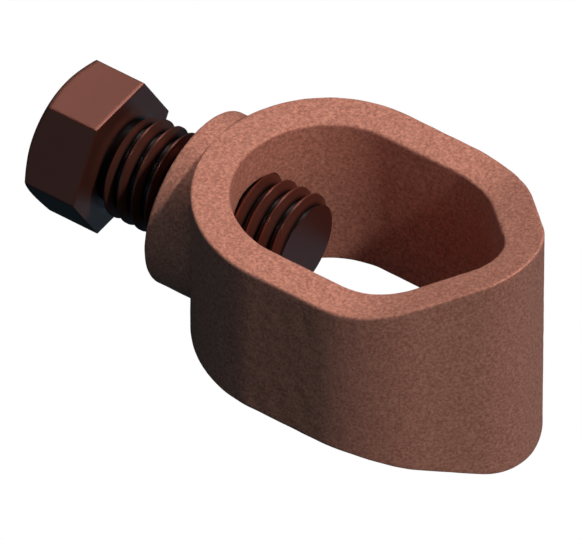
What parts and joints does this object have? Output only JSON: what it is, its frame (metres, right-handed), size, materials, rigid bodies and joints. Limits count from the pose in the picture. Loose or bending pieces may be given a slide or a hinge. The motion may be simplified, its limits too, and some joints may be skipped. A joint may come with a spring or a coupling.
{
  "type": "ground clamp",
  "caption": "Cast ring ground clamp with a V nose and a hexagon-head screw through a tapped boss, for clamping a conductor to a ground rod.",
  "frame": {"origin": "the axis of a 16 mm rod seated in the V, level with the axis of the screw", "axes": "+X along the screw, from its head towards the nose; +Z along the rod, upwards; +Y across the ring"},
  "size_m": [0.0508, 0.0248, 0.0248],
  "materials": {
    "cast_bronze": "as-cast bronze, fine matte grain",
    "screw_bronze": "machined bronze, dark brown, smooth"
  },
  "bodies": {
    "casting": {"clamp_body": "cast_bronze"},
    "travelling_core": {"screw_core": "screw_bronze"},
    "turning_screw": {"clamp_screw": "screw_bronze"}
  },
  "joints": [
    {"name": "screw_travel", "type": "slide", "parent": "casting", "child": "travelling_core", "axis": [1, 0, 0], "range_m": [-0.0075, 0.00835]},
    {"name": "screw_turn", "type": "hinge", "parent": "travelling_core", "child": "turning_screw", "pos_m": [-0.024, 0, 0], "axis": [1, 0, 0], "range_deg": [-1800, 2004]}
  ],
  "couplings": [
    {"joint": "screw_travel", "follows": "screw_turn", "m_per_rad": 0.00023873}
  ]
}
